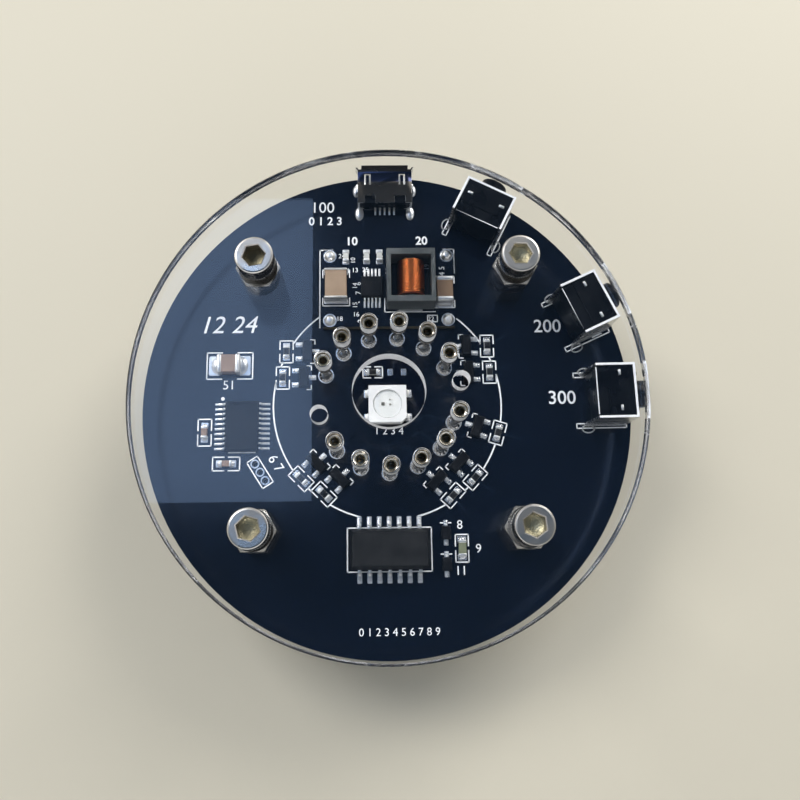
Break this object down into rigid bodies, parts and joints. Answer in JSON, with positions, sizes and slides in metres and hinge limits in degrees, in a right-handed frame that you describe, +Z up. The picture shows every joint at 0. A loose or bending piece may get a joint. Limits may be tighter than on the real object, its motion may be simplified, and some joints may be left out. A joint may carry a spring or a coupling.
{
  "type": "nixie tube clock",
  "caption": "Round open-frame base of a single-tube clock: a dark board between two clear discs, with pin sockets for the tube, push buttons and a supply inlet.",
  "frame": {"origin": "on the axis of the round board and discs, at the height of the surface the four lower screw heads stand on", "axes": "+Z up along the tube's axis; +Y towards the supply inlet; +X towards the third button"},
  "size_m": [0.0651, 0.0648, 0.0292],
  "materials": {
    "clear_acrylic": "clear cast acrylic, polished faces, laser-cut edge",
    "solder_mask": "very dark blue solder mask with white printing",
    "steel": "bright nickel-plated steel",
    "standoff_metal": "nickel-plated brass",
    "tinned": "bright tin plate",
    "gold": "gold plate",
    "solder": "bright solder",
    "lamp_white": "white reflector moulding",
    "lamp_gel": "clear resin",
    "black_moulding": "black moulded epoxy or nylon",
    "grey_moulding": "dark grey moulded epoxy",
    "tin_sheet": "tin-plated sheet",
    "ferrite": "dark grey ferrite",
    "copper": "enamelled copper wire",
    "tan_ceramic": "tan ceramic with tinned ends",
    "brown_ceramic": "brown ceramic with tinned ends",
    "olive_ceramic": "olive ceramic with tinned ends",
    "resistor_black": "black film on white ceramic, tinned ends"
  },
  "bodies": {
    "clock_base": {"bottom_disc": "clear_acrylic", "bottom_screws": "steel", "lower_standoffs": "standoff_metal", "main_board": "solder_mask", "upper_standoffs": "standoff_metal", "top_disc": "clear_acrylic", "top_screws": "steel", "socket_shells": "tinned", "socket_contacts": "gold", "socket_solder": "solder", "lamp_body": "lamp_white", "lamp_lens": "lamp_gel", "lamp_leads": "tinned", "inlet_shell": "tin_sheet", "inlet_insert": "black_moulding", "inlet_contacts": "gold", "switch_terminals": "tinned", "switch_domes": "tin_sheet", "converter_board": "solder_mask", "converter_pins": "solder", "inductor_core": "ferrite", "inductor_winding": "copper", "output_capacitor": "tan_ceramic", "input_capacitor": "brown_ceramic", "converter_chip": "black_moulding", "converter_chip_leads": "tinned", "converter_small_parts": "tan_ceramic", "controller_chip": "black_moulding", "controller_leads": "tinned", "clock_chip": "grey_moulding", "clock_chip_leads": "tinned", "supply_capacitor": "brown_ceramic", "clock_capacitor": "olive_ceramic", "backup_diodes": "black_moulding", "diode_leads": "tinned", "cathode_transistors": "black_moulding", "transistor_leads": "tinned", "cathode_resistors": "resistor_black", "controller_small_parts": "tan_ceramic", "lamp_resistor": "resistor_black", "coin_cell": "tin_sheet", "cell_clip": "tin_sheet", "power_bracket": "tin_sheet", "power_switch_body": "black_moulding", "select_bracket": "tin_sheet", "select_switch_body": "black_moulding", "plus_bracket": "tin_sheet", "plus_switch_body": "black_moulding"},
    "power_key": {"power_button": "black_moulding"},
    "select_key": {"select_button": "black_moulding"},
    "plus_key": {"plus_button": "black_moulding"}
  },
  "joints": [
    {"name": "power_press", "type": "slide", "parent": "clock_base", "child": "power_key", "axis": [-0.454, -0.891, 0], "range_m": [0, 0.00025], "stiffness_N_per_m": 6000},
    {"name": "select_press", "type": "slide", "parent": "clock_base", "child": "select_key", "axis": [-0.9085, -0.4179, 0], "range_m": [0, 0.00025], "stiffness_N_per_m": 6000},
    {"name": "plus_press", "type": "slide", "parent": "clock_base", "child": "plus_key", "axis": [-0.9999, -0.0105, 0], "range_m": [0, 0.00025], "stiffness_N_per_m": 6000}
  ]
}
